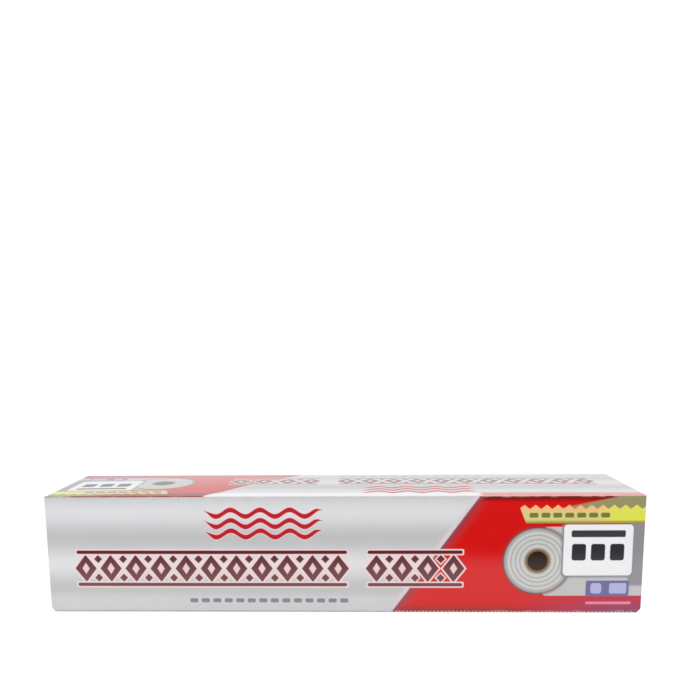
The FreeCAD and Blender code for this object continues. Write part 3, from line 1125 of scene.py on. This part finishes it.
def make_foil_roll():
    bm = bmesh.new()
    columns = spread(roll_low.x, roll_high.x, ALONG_STEP)
    turns = [2 * math.pi * n / AROUND for n in range(AROUND + OVERLAP + 1)]
    layer = bm.loops.layers.uv.new("print_mm")
    skin = [[bm.verts.new(around_roll(x, skin_radius(t, x), FREE_EDGE_ANGLE + t)) for x in columns]
            for t in turns]
    for n, (low, high) in enumerate(zip(skin, skin[1:])):
        for m in range(len(columns) - 1):
            face = bm.faces.new((low[m], low[m + 1], high[m + 1], high[m]))
            for loop, (i, j) in zip(face.loops, ((n, m), (n, m + 1), (n + 1, m + 1), (n + 1, m))):
                loop[layer].uv = (columns[j], turns[i] * roll_radius)
    for x in (roll_low.x, roll_high.x):
        rings = []
        for part in spread(0, 1, 1 / 24):
            ring = []
            for t in turns[:AROUND + 1]:
                reach = core_radius + (skin_radius(t, x) - core_radius) * part
                slide = TURN_SLIDE * noise.noise(Vector((reach * 1.7, 0.3 * math.cos(t), x)))
                inward = -1 if x > 0 else 1
                ring.append(bm.verts.new(around_roll(x + inward * abs(slide), reach, FREE_EDGE_ANGLE + t)))
            rings.append(ring)
        for n, (low, high) in enumerate(zip(rings, rings[1:])):
            for m in range(AROUND):
                corners = (low[m], low[m + 1], high[m + 1], high[m])
                face = bm.faces.new(corners if x > 0 else corners[::-1])
                face.material_index = 1
                for loop in face.loops:
                    offset = Vector(loop.vert.co) - Vector((x, roll_middle.y, roll_middle.z))
                    loop[layer].uv = (math.hypot(offset.y, offset.z), 0.0)
    bmesh.ops.scale(bm, vec=(MM, MM, MM), verts=bm.verts)
    mesh = bpy.data.meshes.new("wound_foil")
    bm.to_mesh(mesh)
    bm.free()
    mesh.materials.append(foil_skin)
    mesh.materials.append(foil_ends)
    mesh.polygons.foreach_set("use_smooth", [True] * len(mesh.polygons))
    mesh.set_sharp_from_angle(angle=math.radians(50))
    piece = bpy.data.objects.new("wound_foil", mesh)
    bpy.context.collection.objects.link(piece)
    return piece


roll = make_foil_roll()
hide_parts("foil_roll")
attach(roll, "tray")
print("foil faces:", len(roll.data.polygons))

# %% [markdown]
# ## Core
# The core is kraft paper wound in slanted strips and glued, so a shallow slanted seam runs
# round and along it.

# %% Core tube
PLY_PITCH = 96.0
CORE_WALL = 1.5
CORE_AROUND = 96
SEAM_WIDTH = 0.9
CORE_INSET = 0.05
CORE_LIP = 0.25
CORE_STEP = 10.0


def kraft_core():
    material, tree = new_material("spiral_wound_kraft_board")
    parts = add(tree, "SeparateXYZ", {"Vector": sheet_place(tree)})
    wind = add(tree, "Math", {0: parts.outputs["Y"], 1: PLY_PITCH / (2 * math.pi), 2: parts.outputs["X"]},
               operation="MULTIPLY_ADD")
    seam = add(tree, "Math", {0: wind, 1: PLY_PITCH / 2}, operation="PINGPONG")
    seam = step_up(tree, seam, SEAM_WIDTH, SEAM_WIDTH / 3)
    fibre = add(tree, "TexNoise", {"Vector": object_mm(tree), "Scale": 1 / FIBRE_MM, "Detail": 4.0})
    colour = ink(tree, "#a67c50", "#c39a6b", step_up(tree, fibre.outputs[0], 0.35, 0.65))
    colour = ink(tree, colour, "#7d5a38", seam)
    height = add(tree, "Math", {0: seam, 1: -1.0, 2: fibre.outputs[0]}, operation="MULTIPLY_ADD")
    bump = add(tree, "Bump", {"Height": height, "Strength": 0.4, "Distance": 0.15 * MM})
    surface(tree, {"Base Color": colour, "Roughness": 0.85, "IOR": 1.45, "Normal": bump})
    return material


def make_core():
    bm = bmesh.new()
    layer = bm.loops.layers.uv.new("print_mm")
    outside, inside, lip = core_radius - CORE_INSET, core_radius - CORE_WALL, CORE_LIP
    end = core_high.x
    section = [(x, outside) for x in spread(-end + lip, end - lip, CORE_STEP)]
    section += [(end, outside - lip), (end, inside + lip)]
    section += [(x, inside) for x in spread(end - lip, -end + lip, -CORE_STEP)]
    section += [(-end, inside + lip), (-end, outside - lip)]
    rings = []
    for x, radius in section + section[:1]:
        angles = [2 * math.pi * n / CORE_AROUND for n in range(CORE_AROUND + 1)]
        rings.append([(bm.verts.new(around_roll(x, radius, a)), (x, a)) for a in angles])
    for low, high in zip(rings, rings[1:]):
        for m in range(CORE_AROUND):
            corners = (low[m], high[m], high[m + 1], low[m + 1])
            face = bm.faces.new([vert for vert, _ in corners])
            for loop, (_, place) in zip(face.loops, corners):
                loop[layer].uv = place
    bmesh.ops.remove_doubles(bm, verts=bm.verts, dist=0.01)
    bmesh.ops.recalc_face_normals(bm, faces=bm.faces)
    bmesh.ops.scale(bm, vec=(MM, MM, MM), verts=bm.verts)
    mesh = bpy.data.meshes.new("wound_core")
    bm.to_mesh(mesh)
    bm.free()
    mesh.materials.append(kraft_core())
    mesh.polygons.foreach_set("use_smooth", [True] * len(mesh.polygons))
    mesh.set_sharp_from_angle(angle=math.radians(35))
    piece = bpy.data.objects.new("wound_core", mesh)
    bpy.context.collection.objects.link(piece)
    return piece


core = make_core()
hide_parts("core_tube")
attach(core, "tray")
print("core faces:", len(core.data.polygons))

# %% [markdown]
# ## Cutting strip
# The strip is tinned steel, rolled thin and punched into teeth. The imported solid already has
# every tooth, so it stays, and it gets a finish: bright metal with streaks along the strip.

# %% Cutting strip
STEEL_STREAK_MM = 0.4
TIN_BLOOM_MM = 14.0


def tinned_steel():
    material, tree = new_material("rolled_tinned_steel")
    place = object_mm(tree)
    stretched = add(tree, "VectorMath", {0: place, 1: (0.02, 1.0, 1.0)}, operation="MULTIPLY")
    streak = add(tree, "TexNoise", {"Vector": stretched, "Scale": 1 / STEEL_STREAK_MM, "Detail": 3.0})
    bloom = add(tree, "TexNoise", {"Vector": place, "Scale": 1 / TIN_BLOOM_MM, "Detail": 3.0})
    colour = ink(tree, "#b4b6b8", "#cdcfd0", step_up(tree, streak.outputs[0], 0.3, 0.7))
    colour = ink(tree, colour, "#a3a4a3", step_up(tree, bloom.outputs[0], 0.55, 0.75))
    rough = add(tree, "MapRange", {"Value": streak.outputs[0], "To Min": 0.28, "To Max": 0.42})
    bump = add(tree, "Bump", {"Height": streak.outputs[0], "Strength": 0.2, "Distance": 0.03 * MM})
    surface(tree, {"Base Color": colour, "Metallic": 1.0, "Roughness": rough, "Normal": bump})
    return material


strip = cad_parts["cutter_strip"]
steel = tinned_steel()
for slot in strip.material_slots:
    slot.material = steel
if not strip.material_slots:
    strip.data.materials.append(steel)
print("cutting strip slots:", len(strip.material_slots))
